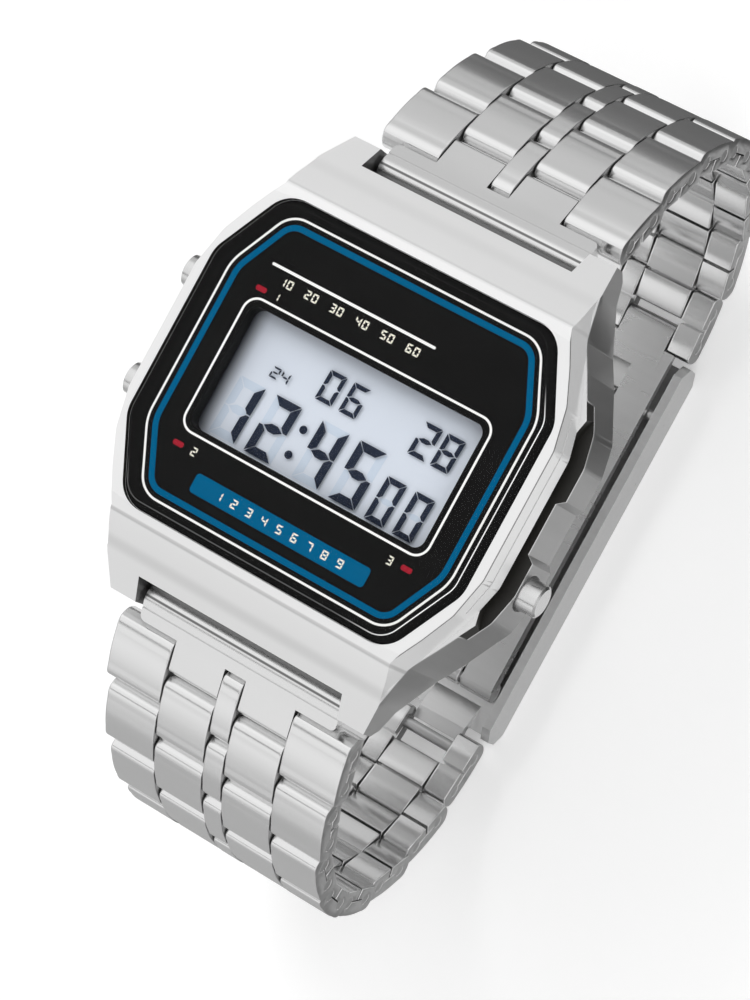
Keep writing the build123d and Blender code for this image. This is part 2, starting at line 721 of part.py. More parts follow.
# Bracelet links, alternately a row of outer, centre and outer links and a row of two wide links.
# The first kind carries the pins at both its ends.
links = {}
for half, hour in ((1, "12"), (-1, "6")):
    for row in range(link_count):
        middle_reach = (pins[row][0] + pins[row + 1][0]) / 2
        middle_drop = (pins[row][1] + pins[row + 1][1]) / 2
        dip = dips[row + 1]
        outer = outer_width + (outer_last - outer_width) * row / (link_count - 1)
        with BuildPart() as link:
            if row % 2:
                spans = [(inner_from, inner_to)]
            else:
                spans = [(outer_from, outer_from + outer)]
                with BuildSketch(side_plane(half, middle_reach, middle_drop, dip)):
                    add(link_side.sketch)
                extrude(amount=centre_half, both=True)
                with BuildSketch(side_plane(half, middle_reach, middle_drop, dip)):
                    with GridLocations(half_pitch, 0, 2, 1):
                        Circle(pin_radius)
                extrude(amount=outer_from + outer - pin_inset, both=True)
            for low, high in spans:
                for start in strip_starts([(low, high)]):
                    with BuildSketch(side_plane(half, middle_reach, middle_drop, dip, start)):
                        add(link_side.sketch)
                    extrude(amount=high - low)
        links["link_{}_{:02d}".format(hour, row + 1)] = link.part

# Clasp cover: folded channel with the hinge pin of the middle blade and the tabs beside the last pin
cover_reach = clasp_reach - end_radius - cover_gap
cover_half = cover_width / 2
with BuildPart() as clasp_cover:
    with BuildSketch(Plane.YZ):
        with BuildLine():
            Polyline((-cover_reach, cover_bend), (cover_bend - cover_reach, 0), (cover_reach - cover_bend, 0),
                     (cover_reach, cover_bend), (cover_reach, cover_high - cover_bend),
                     (cover_reach - cover_bend, cover_high), (cover_bend - cover_reach, cover_high),
                     (-cover_reach, cover_high - cover_bend), close=True)
        make_face()
    extrude(amount=cover_half, both=True)
    with BuildSketch(Plane.YZ):
        with Locations((0, cover_plate + cover_high / 2)):
            Rectangle(2 * (cover_reach + cut_over), cover_high)
    extrude(amount=cover_half - cover_wall, both=True, mode=Mode.SUBTRACT)
    tab_top = clasp_pin_rise - pin_radius
    tab_reach = clasp_reach - pin_radius - tab_gap
    for start in strip_starts([(inner_from, inner_to)]):
        with BuildSketch(Plane.YZ.offset(start)):
            with BuildLine():
                Polyline((cover_bend + tab_root - cover_reach, cover_plate / 2),
                         (cover_bend - cover_reach, cover_plate / 2), (-cover_reach, tab_top - tab_thick),
                         (-tab_reach, tab_top - tab_thick), (-tab_reach, tab_top), (-cover_reach, tab_top),
                         (cover_bend + tab_root - cover_reach, cover_plate), close=True)
            make_face()
        extrude(amount=inner_width)
    with BuildSketch(Plane.YZ):
        with Locations((cover_hinge_reach, eye_rise)):
            Circle(hinge_pin_dia / 2)
    extrude(amount=cover_half - slip_gap, both=True)

# Middle blade: narrow plate with an eye at each end
with BuildPart() as middle_blade:
    with BuildSketch(Plane.YZ):
        with Locations((cover_hinge_reach, eye_rise), (-knee_reach, knee_rise)):
            Circle(eye_dia / 2)
        with BuildLine():
            Polyline((cover_hinge_reach, eye_rise + blade_thick / 2),
                     (-knee_reach, knee_rise + blade_thick / 2), (-knee_reach, knee_rise - blade_thick / 2),
                     (cover_hinge_reach, eye_rise - blade_thick / 2), close=True)
        make_face()
        with Locations((cover_hinge_reach, eye_rise), (-knee_reach, knee_rise)):
            Circle(hinge_pin_dia / 2 + pin_fit, mode=Mode.SUBTRACT)
    extrude(amount=middle_width / 2, both=True)

# Lower blade: two rails around the middle blade, its knee pin, and knuckles for the bracelet's last pin
rail_from = middle_width / 2 + rail_gap
with BuildPart() as lower_blade:
    for start in strip_starts([(rail_from, rail_from + rail_width)]):
        with BuildSketch(Plane.YZ.offset(start)):
            with Locations((-knee_reach, knee_rise)):
                Circle(eye_dia / 2)
            with BuildLine():
                Polyline((-knee_reach, rail_rise + blade_thick),
                         (clasp_reach - end_radius, rail_rise + blade_thick),
                         (clasp_reach - end_radius, rail_rise), (-knee_reach, rail_rise - blade_thick),
                         close=True)
            make_face()
        extrude(amount=rail_width)
    with BuildSketch(Plane.XY.offset(rail_rise)):
        with Locations((0, clasp_reach - end_radius - rail_bridge / 2 - link_gap)):
            Rectangle(2 * (rail_from + rail_width), rail_bridge)
    extrude(amount=blade_thick)
    for start in strip_starts([(inner_from, inner_to)]):
        with BuildSketch(Plane.YZ.offset(start)):
            with Locations((clasp_reach, clasp_pin_rise)):
                Circle(half_high)
            with BuildLine():
                Polyline((clasp_reach, clasp_pin_rise + half_high),
                         (clasp_reach - end_radius - rail_bridge, rail_rise + blade_thick),
                         (clasp_reach - end_radius - rail_bridge, rail_rise),
                         (clasp_reach, clasp_pin_rise - half_high), close=True)
            make_face()
        extrude(amount=inner_width)
    with BuildSketch(Plane.YZ):
        with Locations((clasp_reach, clasp_pin_rise)):
            Circle(bore_radius)
    extrude(amount=cover_half, both=True, mode=Mode.SUBTRACT)
    with BuildSketch(Plane.YZ):
        with Locations((-knee_reach, knee_rise)):
            Circle(hinge_pin_dia / 2)
    extrude(amount=rail_from + rail_width, both=True)

nodes = {
    "case": case.part, "glass": glass.part, "dial_plate": dial_plate.part, "lcd_panel": lcd_panel.part,
    "light_guide": light_guide.part, "lamp": lamp.part, "contact_strips": contact_strips.part,
    "module_frame": module_frame.part, "circuit_board": circuit_board.part, "quartz_can": quartz_can.part,
    "battery": battery.part, "battery_clamp": battery_clamp.part, "case_back": case_back.part,
    "back_screws": back_screws.part, "back_gasket": back_gasket.part, "buzzer_disc": buzzer_disc.part,
    "button_seals": button_seals.part, "clasp_cover": clasp_cover.part, "middle_blade": middle_blade.part,
    "lower_blade": lower_blade.part,
}
nodes.update(buttons)
nodes.update(button_springs)
nodes.update(spring_bars)
nodes.update(end_links)
nodes.update(links)
for name, part in nodes.items():
    part.label = name
    export_step(part, "parts/" + name + ".step")
print("nodes", len(nodes), "dial print above the floor", round(dial_z, 2))
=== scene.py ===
import json
import math

import bmesh
import bpy
from mathutils import Matrix, Vector

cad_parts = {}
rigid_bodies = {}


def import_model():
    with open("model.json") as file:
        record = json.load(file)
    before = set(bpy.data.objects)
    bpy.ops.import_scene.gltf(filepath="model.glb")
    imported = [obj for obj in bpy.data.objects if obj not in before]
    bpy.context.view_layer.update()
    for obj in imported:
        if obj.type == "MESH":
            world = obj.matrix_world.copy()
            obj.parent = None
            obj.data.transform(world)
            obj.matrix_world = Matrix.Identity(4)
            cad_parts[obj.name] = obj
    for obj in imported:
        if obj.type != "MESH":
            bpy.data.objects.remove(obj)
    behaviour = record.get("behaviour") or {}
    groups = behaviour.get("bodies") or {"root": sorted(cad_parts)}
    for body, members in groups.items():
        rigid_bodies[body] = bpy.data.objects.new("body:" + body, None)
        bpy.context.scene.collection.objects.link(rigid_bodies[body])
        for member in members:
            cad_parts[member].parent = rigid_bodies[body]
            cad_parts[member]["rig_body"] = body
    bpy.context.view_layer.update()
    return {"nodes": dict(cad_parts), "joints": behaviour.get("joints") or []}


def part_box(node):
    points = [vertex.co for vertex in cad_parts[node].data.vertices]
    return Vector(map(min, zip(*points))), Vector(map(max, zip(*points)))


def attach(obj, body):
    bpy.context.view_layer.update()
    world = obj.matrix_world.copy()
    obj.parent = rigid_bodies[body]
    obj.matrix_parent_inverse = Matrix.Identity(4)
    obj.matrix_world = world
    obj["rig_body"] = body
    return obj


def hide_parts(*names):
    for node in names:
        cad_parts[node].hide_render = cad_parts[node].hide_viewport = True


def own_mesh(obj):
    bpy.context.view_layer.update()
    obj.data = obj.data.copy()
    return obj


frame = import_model()
mm = 0.001

# Studio: a white table in a light tent. The camera looks down on the dial from above three o'clock.
# Steel is lit by what it reflects, so the tent has a grey side, and grey flags lie out of view on the table.
print_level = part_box("dial_plate")[1].z
dial_centre = Vector((0, 0, print_level))
camera_place = dial_centre + Vector((90.2, -0.7, 214.08)) * mm
camera_right = Vector((0.8146, 0.4773, -0.3296))
camera_up = Vector((-0.4481, 0.8786, 0.1650))
lens_length = 118.8
sensor_size = 36.0
table_reach = 1.5
lamp_specs = [
    ("key_lamp", (-0.30, 0.26, 0.48), 0.30, 0.85),
    ("fill_lamp", (0.34, -0.30, 0.50), 0.40, 0.6),
]
tent_light = 0.78


def connect(shader, inputs):
    """Sets a shader node's sockets to values, or links them to other sockets."""
    for name, value in dict(inputs).items():
        if isinstance(value, Shade):
            value.tree.links.new(value.socket, shader.inputs[name])
        else:
            shader.inputs[name].default_value = value


class Shade:
    """A socket of a material. Sums, products and comparisons with it add the nodes that work them out."""

    def __init__(self, tree, socket=None):
        self.tree = tree
        self.socket = socket

    def node(self, kind, settings=(), inputs=(), output=0):
        """Adds any other node: its settings come first, then the values or links of its sockets."""
        made = self.tree.nodes.new(kind)
        for name, value in dict(settings).items():
            setattr(made, name, value)
        connect(made, inputs)
        return Shade(self.tree, made.outputs[output])

    def maths(self, operation, first, second):
        return self.node("ShaderNodeMath", {"operation": operation}, {0: first, 1: second})

    def __add__(self, other):
        return self.maths("ADD", self, other)

    def __radd__(self, other):
        return self.maths("ADD", other, self)

    def __sub__(self, other):
        return self.maths("SUBTRACT", self, other)

    def __rsub__(self, other):
        return self.maths("SUBTRACT", other, self)

    def __mul__(self, other):
        return self.maths("MULTIPLY", self, other)

    def __gt__(self, other):
        return self.maths("GREATER_THAN", self, other)

    def __lt__(self, other):
        return self.maths("LESS_THAN", self, other)

    def __abs__(self):
        return self.maths("ABSOLUTE", self, 0.0)


def rise(value, low, high):
    """A mask that is 0 below low, 1 above high and smooth between."""
    settings = {"interpolation_type": "SMOOTHSTEP"}
    return value.node("ShaderNodeMapRange", settings, {"Value": value, "From Min": low, "From Max": high})


def mix_colours(mask, first, second):
    """The first colour where the mask is 0, the second where it is 1."""
    return mask.node("ShaderNodeMix", {"data_type": "RGBA"}, {0: mask, 6: first, 7: second}, 2)


def grey(tone):
    return (tone, tone, tone, 1.0)


def new_finish(name):
    """A new material: the material, a start for its expressions, and its surface shader."""
    material = bpy.data.materials.new(name)
    material.use_nodes = True
    return material, Shade(material.node_tree), material.node_tree.nodes["Principled BSDF"]


def surface_point(start, output="Object"):
    """The point on the surface in the watch's own frame; other outputs give its normal or a direction."""
    return start.node("ShaderNodeTexCoord", output=output)


def axes_of(vector):
    """The x, y and z of a point or a direction."""
    return [vector.node("ShaderNodeSeparateXYZ", (), {"Vector": vector}, axis) for axis in range(3)]


def noise(point, scale, detail=2.0, stretch=(1, 1, 1)):
    """Soft noise from 0 to 1; stretch multiplies its scale along each axis."""
    spread = point.node("ShaderNodeVectorMath", {"operation": "MULTIPLY"}, {0: point, 1: stretch})
    return point.node("ShaderNodeTexNoise", (), {"Vector": spread, "Scale": scale, "Detail": detail})


def place_object(name, data):
    made = bpy.data.objects.new(name, data)
    bpy.context.scene.collection.objects.link(made)
    return made


def sheet_mesh(name, low, high, level):
    """A level rectangle."""
    mesh = bpy.data.meshes.new(name)
    corners = [(low[0], low[1]), (high[0], low[1]), (high[0], high[1]), (low[0], high[1])]
    mesh.from_pydata([(x, y, level) for x, y in corners], [], [(0, 1, 2, 3)])
    return mesh


table_finish, start, surface = new_finish("table_white")
by_camera = start.node("ShaderNodeLightPath", output="Is Camera Ray")
connect(surface, {"Base Color": mix_colours(noise(surface_point(start), 6.0), grey(0.88), grey(0.86)),
                  "Roughness": 0.9, "Specular IOR Level": 0.0,
                  "Emission Color": mix_colours(by_camera, grey(0.0), grey(0.24)), "Emission Strength": 1.0})
table = place_object("table", sheet_mesh("table", [-table_reach] * 2, [table_reach] * 2, 0.0))
table.data.materials.append(table_finish)

flag_specs = [
    ("back_flag", (-0.30, 0.036), (0.30, 0.40), 0.12),
    ("front_flag", (-0.30, -0.40), (0.30, -0.036), 0.45),
    ("upper_wall_flag", (0.026, 0.012), (0.30, 0.036), 0.02),
    ("lower_wall_flag", (0.026, -0.036), (0.30, -0.020), 0.25),
]
flag_level = 0.4 * mm
for name, low, high, tone in flag_specs:
    finish, start, surface = new_finish(name + "_card")
    connect(surface, {"Base Color": grey(tone), "Roughness": 0.8})
    flag = place_object(name, sheet_mesh(name, low, high, flag_level))
    flag.data.materials.append(finish)
    flag.visible_camera = False
    flag.visible_diffuse = False
    flag.visible_shadow = False
    flag.visible_transmission = False

for name, place, size, power in lamp_specs:
    light = bpy.data.lights.new(name, "AREA")
    light.shape = "DISK"
    light.size = size
    light.energy = power
    lamp = place_object(name, light)
    lamp.visible_glossy = False
    lamp.location = place
    lamp.rotation_euler = (dial_centre - Vector(place)).to_track_quat("-Z", "Y").to_euler()

world = bpy.data.worlds.new("light_tent")
world.use_nodes = True
bpy.context.scene.world = world
start = Shade(world.node_tree)
north, high = axes_of(surface_point(start, "Generated"))[1:]
to_twelve = rise(north, -0.15, 0.30)
twelve_side = mix_colours(rise(high, -0.15, 0.15), grey(0.28), grey(0.62))
twelve_side = mix_colours(rise(high, 0.40, 0.66), twelve_side, grey(1.0))
dark_line = rise(high, 0.54, 0.60) * (1.0 - rise(high, 0.64, 0.71))
six_side = mix_colours(rise(high, -0.20, 0.45), grey(0.50), grey(0.92))
six_side = mix_colours(dark_line, six_side, grey(0.16))
tent = mix_colours(to_twelve, six_side, twelve_side)
by_camera, by_mirror, by_glass = [start.node("ShaderNodeLightPath", output="Is " + kind + " Ray")
                                  for kind in ("Camera", "Glossy", "Transmission")]
seen = mix_colours(by_camera, tent, grey(1.0))
shown = mix_colours(by_camera + by_mirror + by_glass, grey(tent_light), seen)
background = world.node_tree.nodes["Background"]
connect(background, {"Color": shown, "Strength": 1.0})

camera_data = bpy.data.cameras.new("camera")
camera_data.lens = lens_length
camera_data.sensor_width = sensor_size
camera_data.clip_start = 0.01
camera = place_object("camera", camera_data)
camera_back = camera_right.cross(camera_up)
turn = Matrix((camera_right, camera_up, camera_back)).transposed()
camera.matrix_world = Matrix.Translation(camera_place) @ turn.to_4x4()
bpy.context.scene.camera = camera
bpy.context.scene.view_settings.view_transform = "Standard"

# Case: machined steel, satin on the bezel and shoulders, brushed on the lower wall.
# The recess between skirt and lower wall, a crescent on each side, is painted black.
# Painted shade darkens the lower wall, creases, bezel rim, lug slots and glass seat walls.
film = 0.012 * mm
case_edge = 0.10 * mm
least_edge = 0.8 * mm
weld_gap = 0.001 * mm
flat_angle = math.radians(0.6)
sharp_angle = math.radians(15.4)
wide_angle = math.radians(8)
narrow_face = 0.27 * mm
case_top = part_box("case")[1].z
skirt_foot = print_level - 2.1 * mm
shoulder_level = print_level - 3.3 * mm
wall_fade = 0.25 * mm
crescent_half = 9.2 * mm
crescent_fade = 0.2 * mm
crescent_inside = 13.9 * mm
crescent_margin = 0.02 * mm
seat_half = (14.4 * mm, 12.3 * mm)
seat_cut = (3.83 * mm, 5.29 * mm)
seat_round = 1.25 * mm
glass_half = (14.6 * mm, 12.5 * mm)
glass_cut = (3.05 * mm, 5.9 * mm)
glass_rounds = (2.5 * mm, 2.6 * mm)
seat_gap = 0.03 * mm
well_half = (14.8 * mm, 12.7 * mm)
inner_half = (14.7 * mm, 12.7 * mm)
strip_slope = math.tan(math.radians(15.9))
rim_deep = 0.17 * mm
rim_reach = 16.0 * mm
# The shoulders' two creases, and the painted shade along them: core, fades, strengths and foot.
crease_places = (13.3 * mm, 15.5 * mm)
crease_core = 0.05 * mm
crease_fades = (0.22 * mm, 0.7 * mm)
crease_shade_strengths = (0.42, 0.20)
crease_foot = (print_level - 2.6 * mm, print_level - 2.2 * mm)
slot_wall = 16.2 * mm
slot_half = 9.1 * mm
# The crescents' black paint, also used for the painted shade on the glass seat's walls.
case_black = (0.008, 0.007, 0.005, 1.0)
brush_depth = 0.0005 * mm


def steel(name, bright, dull, rough, grain=(70, 1500, 1500), grain_depth=0.0004 * mm, side=None):
    """Satin steel: fine lines along X in its tone, roughness and bump, over slow uneven patches.
    The faces across X, where the sheet is cut, may have a streaked tone of their own, darkened as painted
    shade."""
    material, start, surface = new_finish(name)
    point = surface_point(start)
    lines = noise(point, 1.0, 3.0, grain)
    patches = noise(point, 160.0)
    tone = mix_colours(lines * 0.6 + patches * 0.4, grey(dull), grey(bright))
    roughness = rough + (lines + patches - 1.0) * 0.08
    # Painted shade: the side faces take a darker tone, streaked like a cut edge.
    if side:
        cut = rise(abs(axes_of(surface_point(start, "Normal"))[0]), 0.55, 0.9)
        streaks = noise(point, 1.0, 3.0, (200, 900, 900))
        tone = mix_colours(cut, tone, mix_colours(streaks, grey(0.7 * side), grey(1.3 * side)))
        roughness = roughness + cut * 0.2
    bump = start.node("ShaderNodeBump", (), {"Strength": 0.5, "Distance": grain_depth, "Height": lines})
    connect(surface, {"Base Color": tone, "Metallic": 1.0, "Roughness": roughness, "Normal": bump})
    return material


def case_steel():
    """Satin steel, brushed on the lower wall, black in the crescents, with painted shade in places."""
    material, start, surface = new_finish("case_steel")
    point = surface_point(start)
    x, y, z = axes_of(point)
    facing = axes_of(surface_point(start, "Normal"))
    lines = noise(point, 1.0, 3.0, (700, 700, 90))
    patches = noise(point, 120.0)
    beside = rise(abs(y), crescent_half, crescent_half + crescent_fade)
    wall_top = shoulder_level + beside * (skirt_foot - shoulder_level)
    below = rise(wall_top - z, 0.0, wall_fade)
    wall = below * rise(abs(facing[0]), 0.35, 0.6)
    inside = rise(abs(x), crescent_inside, crescent_inside + crescent_fade / 2) * (1.0 - beside)
    crescent = inside * (z > shoulder_level - crescent_margin) * (z < skirt_foot - crescent_margin)
    # Painted shade along both creases, stronger at six o'clock, and a little painted shade beyond the first.
    first, second = [(1.0 - rise(abs(abs(y) - place), crease_core, fade)) * strength
                     for place, fade, strength in zip(crease_places, crease_fades, crease_shade_strengths)]
    six_side = (y < 0.0) * 0.6 + 0.4
    painted_crease_shade = (first + second) * rise(z, *crease_foot) * six_side
    # Painted shade: a dark line along the bezel's outer rim where it turns down at the sides.
    rim = rise(abs(facing[0]), 0.12, 0.3) * (z > case_top - rim_deep) * (1.0 - beside * (abs(y) > rim_reach))
    satin = mix_colours(patches, grey(0.81), grey(0.85))
    satin = mix_colours(painted_crease_shade + rise(abs(y), *crease_places) * 0.06 * six_side, satin, grey(0.25))
    satin = mix_colours(rim * 0.75, satin, grey(0.08))
    # The lower wall is brushed; its darker tone is painted shade.
    brushed = mix_colours(lines, grey(0.37), grey(0.47))
    inward = (x * facing[0] + y * facing[1]) < 0.0
    # Painted shade: the inner walls of the glass seat are black.
    seat = inward * (abs(x) < well_half[0]) * (abs(y) < well_half[1]) * (abs(facing[2]) < 0.5)
    # Painted shade on the walls of the slots between the lugs.
    slot = (abs(y) > slot_wall) * (abs(x) < slot_half) * (abs(facing[2]) < 0.3)
    black = crescent + seat * (1.0 - crescent)
    tone = mix_colours(slot * 0.7, mix_colours(wall, satin, brushed), grey(0.05))
    tone = mix_colours(black, tone, case_black)
    bump = start.node("ShaderNodeBump", (),
                      {"Strength": 0.4, "Distance": brush_depth, "Height": lines * wall})
    connect(surface, {"Base Color": tone, "Metallic": (0.33 + wall * 0.67) * (1.0 - black),
                      "Roughness": 0.26 + patches * 0.06 + wall * 0.12 + black * 0.2, "Normal": bump})
    return material


def shade_smooth(shape, angle, flat_turn=None):
    """Smooth shading, with every edge that turns by more than the angle kept sharp. Between two wide faces
    the flat turn counts instead; the narrow facets of a rounding stay smooth."""
    narrow = set()
    for face in shape.faces:
        face.smooth = True
        if face.calc_area() < narrow_face * max(edge.calc_length() for edge in face.edges):
            narrow.add(face)
    for edge in shape.edges:
        limit = angle if flat_turn is None or narrow.intersection(edge.link_faces) else flat_turn
        edge.smooth = len(edge.link_faces) == 2 and edge.calc_face_angle(0.0) < limit


def new_piece(name, shape, finish, body, slot, *nodes):
    """Turns a built shape into a piece that rides on a body, in the place of CAD nodes."""
    mesh = bpy.data.meshes.new(name)
    shape.to_mesh(mesh)
    shape.free()
    mesh.materials.append(finish)
    piece = place_object(name, mesh)
    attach(piece, body)
    if nodes:
        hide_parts(*nodes)
    return piece


def body_of(node):
    """The body that carries a CAD node."""
    return frame["nodes"][node]["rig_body"]


def rounded_copy(node, name, edge_width, finish, slot, chosen=None, reshape=None):
    """A CAD node's form with its flat facets joined, and the chosen sharp edges rounded."""
    shape = bmesh.new()
    shape.from_mesh(frame["nodes"][node].data)
    bmesh.ops.remove_doubles(shape, verts=shape.verts, dist=weld_gap)
    bmesh.ops.dissolve_limit(shape, angle_limit=flat_angle, verts=shape.verts, edges=shape.edges)
    weight = shape.edges.layers.float.new("bevel_weight_edge")
    shade_smooth(shape, sharp_angle, wide_angle)
    for edge in shape.edges:
        if not edge.smooth and len(edge.link_faces) == 2 and (chosen is None or chosen(edge)):
            edge[weight] = 1.0
    if reshape:
        reshape(shape)
    piece = new_piece(name, shape, finish, body_of(node), slot, node)
    bevel = piece.modifiers.new("rounded_edges", "BEVEL")
    bevel.limit_method = "WEIGHT"
    bevel.width = edge_width
    bevel.segments = 2
    bevel.use_clamp_overlap = True
    normals = piece.modifiers.new("flat_faces_stay_flat", "WEIGHTED_NORMAL")
    normals.weight = 90
    normals.keep_sharp = True
    return piece


def on_outer_form(edge):
    """Edges of the bezel, shoulders, lugs and lower wall, but not of the seats and wells."""
    middle = (edge.verts[0].co + edge.verts[1].co) / 2
    inner = abs(middle.x) < inner_half[0] and abs(middle.y) < inner_half[1]
    return edge.calc_length() > least_edge and not inner


def octagon(half_x, half_y, cut_x, cut_y):
    """A box with cut corners, counter-clockwise."""
    right = [(half_x - cut_x, -half_y), (half_x, cut_y - half_y),
             (half_x, half_y - cut_y), (half_x - cut_x, half_y)]
    return right + [(-x, -y) for x, y in right]


def grown(points, amount):
    """A convex outline with every side moved out by the same amount."""
    moved = []
    for before, here, after in zip(points[-1:] + points[:-1], points, points[1:] + points[:1]):
        first = (Vector(here) - Vector(before)).normalized()
        second = (Vector(after) - Vector(here)).normalized()
        out = Vector((first.y + second.y, -first.x - second.x))
        out *= amount / (1 + first.dot(second))
        moved.append((here[0] + out.x, here[1] + out.y))
    return moved


def rounded(points, radii, steps=8):
    """A convex outline, counter-clockwise, with an arc at every corner: of one radius, or of two, which
    take turns in pairs of corners."""
    if not isinstance(radii, tuple):
        radii = (radii, radii)
    path = []
    for place, here in enumerate(points):
        here = Vector(here)
        back = (Vector(points[place - 1]) - here).normalized()
        onward = (Vector(points[(place + 1) % len(points)]) - here).normalized()
        radius = radii[(place + 1) // 2 % 2]
        half_angle = back.angle(onward) / 2
        centre = here + (back + onward).normalized() * radius / math.sin(half_angle)
        start_arm = here + back * radius / math.tan(half_angle) - centre
        sweep = math.pi - 2 * half_angle
        for step in range(steps + 1):
            arm = start_arm.copy()
            arm.rotate(Matrix.Rotation(sweep * step / steps, 2))
            path.append((centre.x + arm.x, centre.y + arm.y))
    return path


glass_corners = octagon(*glass_half, *glass_cut)


def round_the_seat(shape):
    """Moves the glass seat's wall to the rounder outline of the glass, and its rim down the bezel's slope."""
    old = [Vector(spot) for spot in rounded(octagon(*seat_half, *seat_cut), seat_round)]
    new = [Vector(spot) for spot in rounded(grown(glass_corners, seat_gap), glass_rounds)]
    for vertex in shape.verts:
        if vertex.co.z < print_level - film:
            continue
        spot = vertex.co.xy
        for place, corner in enumerate(old):
            side = old[(place + 1) % len(old)] - corner
            share = (spot - corner).dot(side) / side.length_squared
            if -0.01 <= share <= 1.01 and (corner + side * share - spot).length < 2 * film:
                vertex.co.xy = new[place].lerp(new[(place + 1) % len(new)], share)
                if vertex.co.z > case_top - rim_deep:
                    vertex.co.z -= max(0.0, abs(vertex.co.y) - seat_half[1]) * strip_slope
                break


rounded_copy("case", "watch_case_shell", case_edge, case_steel(), "case_steel", on_outer_form, round_the_seat)

# Glass: flat mineral glass with a bevelled edge, with a painted highlight on its inner line at three o'clock.
# A black mask is printed on its underside, from its edge to the white line of the plate.
glass_foot, glass_top = [corner.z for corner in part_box("glass")]
glass_bevel = 0.53 * mm
bevel_deep = 0.35 * mm
# The painted highlight on the bevel's inner edge: its width, its level, and where it is bright and faint.
painted_bevel_highlight = 0.08 * mm
painted_bevel_highlight_top = glass_top + 0.3 * film
bright_from = (7.0 * mm, 12.5 * mm)
bright_to = (6.0 * mm, 9.0 * mm)
faint_to = (-11.0 * mm, -9.0 * mm)
line_half = (13.19 * mm, 11.31 * mm)
line_cut = (2.47 * mm, 4.95 * mm)
line_rounds = (2.1 * mm, 3.4 * mm)
line_wide = 0.17 * mm
mask_in = 0.10 * mm


def clear_glass(name, gloss):
    """Clear glass that lets the light through, with only part of a mirror's reflection."""
    material, start, surface = new_finish(name)
    fresnel = start.node("ShaderNodeFresnel", (), {"IOR": 1.5})
    smears = noise(surface_point(start), 90.0)
    clear = start.node("ShaderNodeBsdfTransparent")
    shine = start.node("ShaderNodeBsdfGlossy", (), {"Color": grey(1.0), "Roughness": 0.03})
    mirror = fresnel * (gloss + smears * 0.02)
    both = start.node("ShaderNodeMixShader", (), {0: mirror, 1: clear, 2: shine})
    material.node_tree.links.new(both.socket, material.node_tree.nodes["Material Output"].inputs["Surface"])
    material.node_tree.nodes.remove(surface)
    return material


def gloss_black(name):
    """Black print: deep, and a little uneven in its gloss."""
    material, start, surface = new_finish(name)
    patches = noise(surface_point(start), 400.0, 3.0)
    connect(surface, {"Base Color": mix_colours(patches, grey(0.006), grey(0.0096)),
                      "Roughness": 0.3 + patches * 0.1, "Specular IOR Level": 0.03})
    return material


def prism(shape, outer, low, high, inner=None):
    """Adds an upright solid between two levels; with an inner outline of as many points it is a ring."""
    count = len(outer)
    foot, top, inner_foot, inner_top = [[shape.verts.new((x, y, z)) for x, y in path]
                                        for path in (outer, inner or []) for z in (low, high)]
    for step in range(count):
        after = (step + 1) % count
        shape.faces.new((foot[step], foot[after], top[after], top[step]))
        if inner:
            shape.faces.new((inner_foot[after], inner_foot[step], inner_top[step], inner_top[after]))
            shape.faces.new((top[step], top[after], inner_top[after], inner_top[step]))
            shape.faces.new((foot[after], foot[step], inner_foot[step], inner_foot[after]))
    if not inner:
        shape.faces.new(top)
        shape.faces.new(reversed(foot))


def layered(shape, layers):
    """Adds a solid through level outlines that have as many points each."""
    loops = [[shape.verts.new((x, y, level)) for x, y in path] for path, level in layers]
    for lower, upper in zip(loops, loops[1:]):
        for step in range(len(lower)):
            after = (step + 1) % len(lower)
            shape.faces.new((lower[step], lower[after], upper[after], upper[step]))
    shape.faces.new(reversed(loops[0]))
    shape.faces.new(loops[-1])


def painted_bevel_highlight_finish():
    """A painted highlight on the inner edge of the bevel: bright at three o'clock, faint at six, dark
    elsewhere.
    """
    material, start, surface = new_finish("painted_bevel_highlight")
    x, y = axes_of(surface_point(start))[:2]
    bright = rise(x, *bright_from) * (1.0 - rise(y, *bright_to))
    faint = (1.0 - rise(y, *faint_to)) * 0.10
    shine = bright + faint * (1.0 - bright)
    connect(surface, {"Base Color": mix_colours(shine, grey(0.012), grey(0.92)), "Roughness": 0.3,
                      "Specular IOR Level": 0.1})
    return material


def spread(corners, radii, amount):
    """A rounded outline moved out evenly, so that its radii grow with it."""
    return rounded(grown(corners, amount), tuple(radius + amount for radius in radii))


glass_outline = rounded(glass_corners, glass_rounds)
bevel_outline = spread(glass_corners, glass_rounds, -glass_bevel)
shape = bmesh.new()
layered(shape, [(glass_outline, glass_foot), (glass_outline, glass_top - bevel_deep),
                (bevel_outline, glass_top)])
pane_finish = clear_glass("watch_glass", 0.015)
new_piece("watch_glass_pane", shape, pane_finish, "watch_case", "watch_glass", "glass")
shape = bmesh.new()
prism(shape, bevel_outline, glass_top, painted_bevel_highlight_top,
      spread(glass_corners, glass_rounds, -glass_bevel - painted_bevel_highlight))
new_piece("glass_painted_bevel_highlight", shape, painted_bevel_highlight_finish(), "watch_case", "watch_glass")
line_corners = octagon(*line_half, *line_cut)
shape = bmesh.new()
prism(shape, rounded(grown(glass_corners, -film), glass_rounds), print_level + film, glass_foot - film,
      spread(line_corners, line_rounds, mask_in))
new_piece("glass_mask", shape, gloss_black("mask_black"), "watch_case", "dial_print")

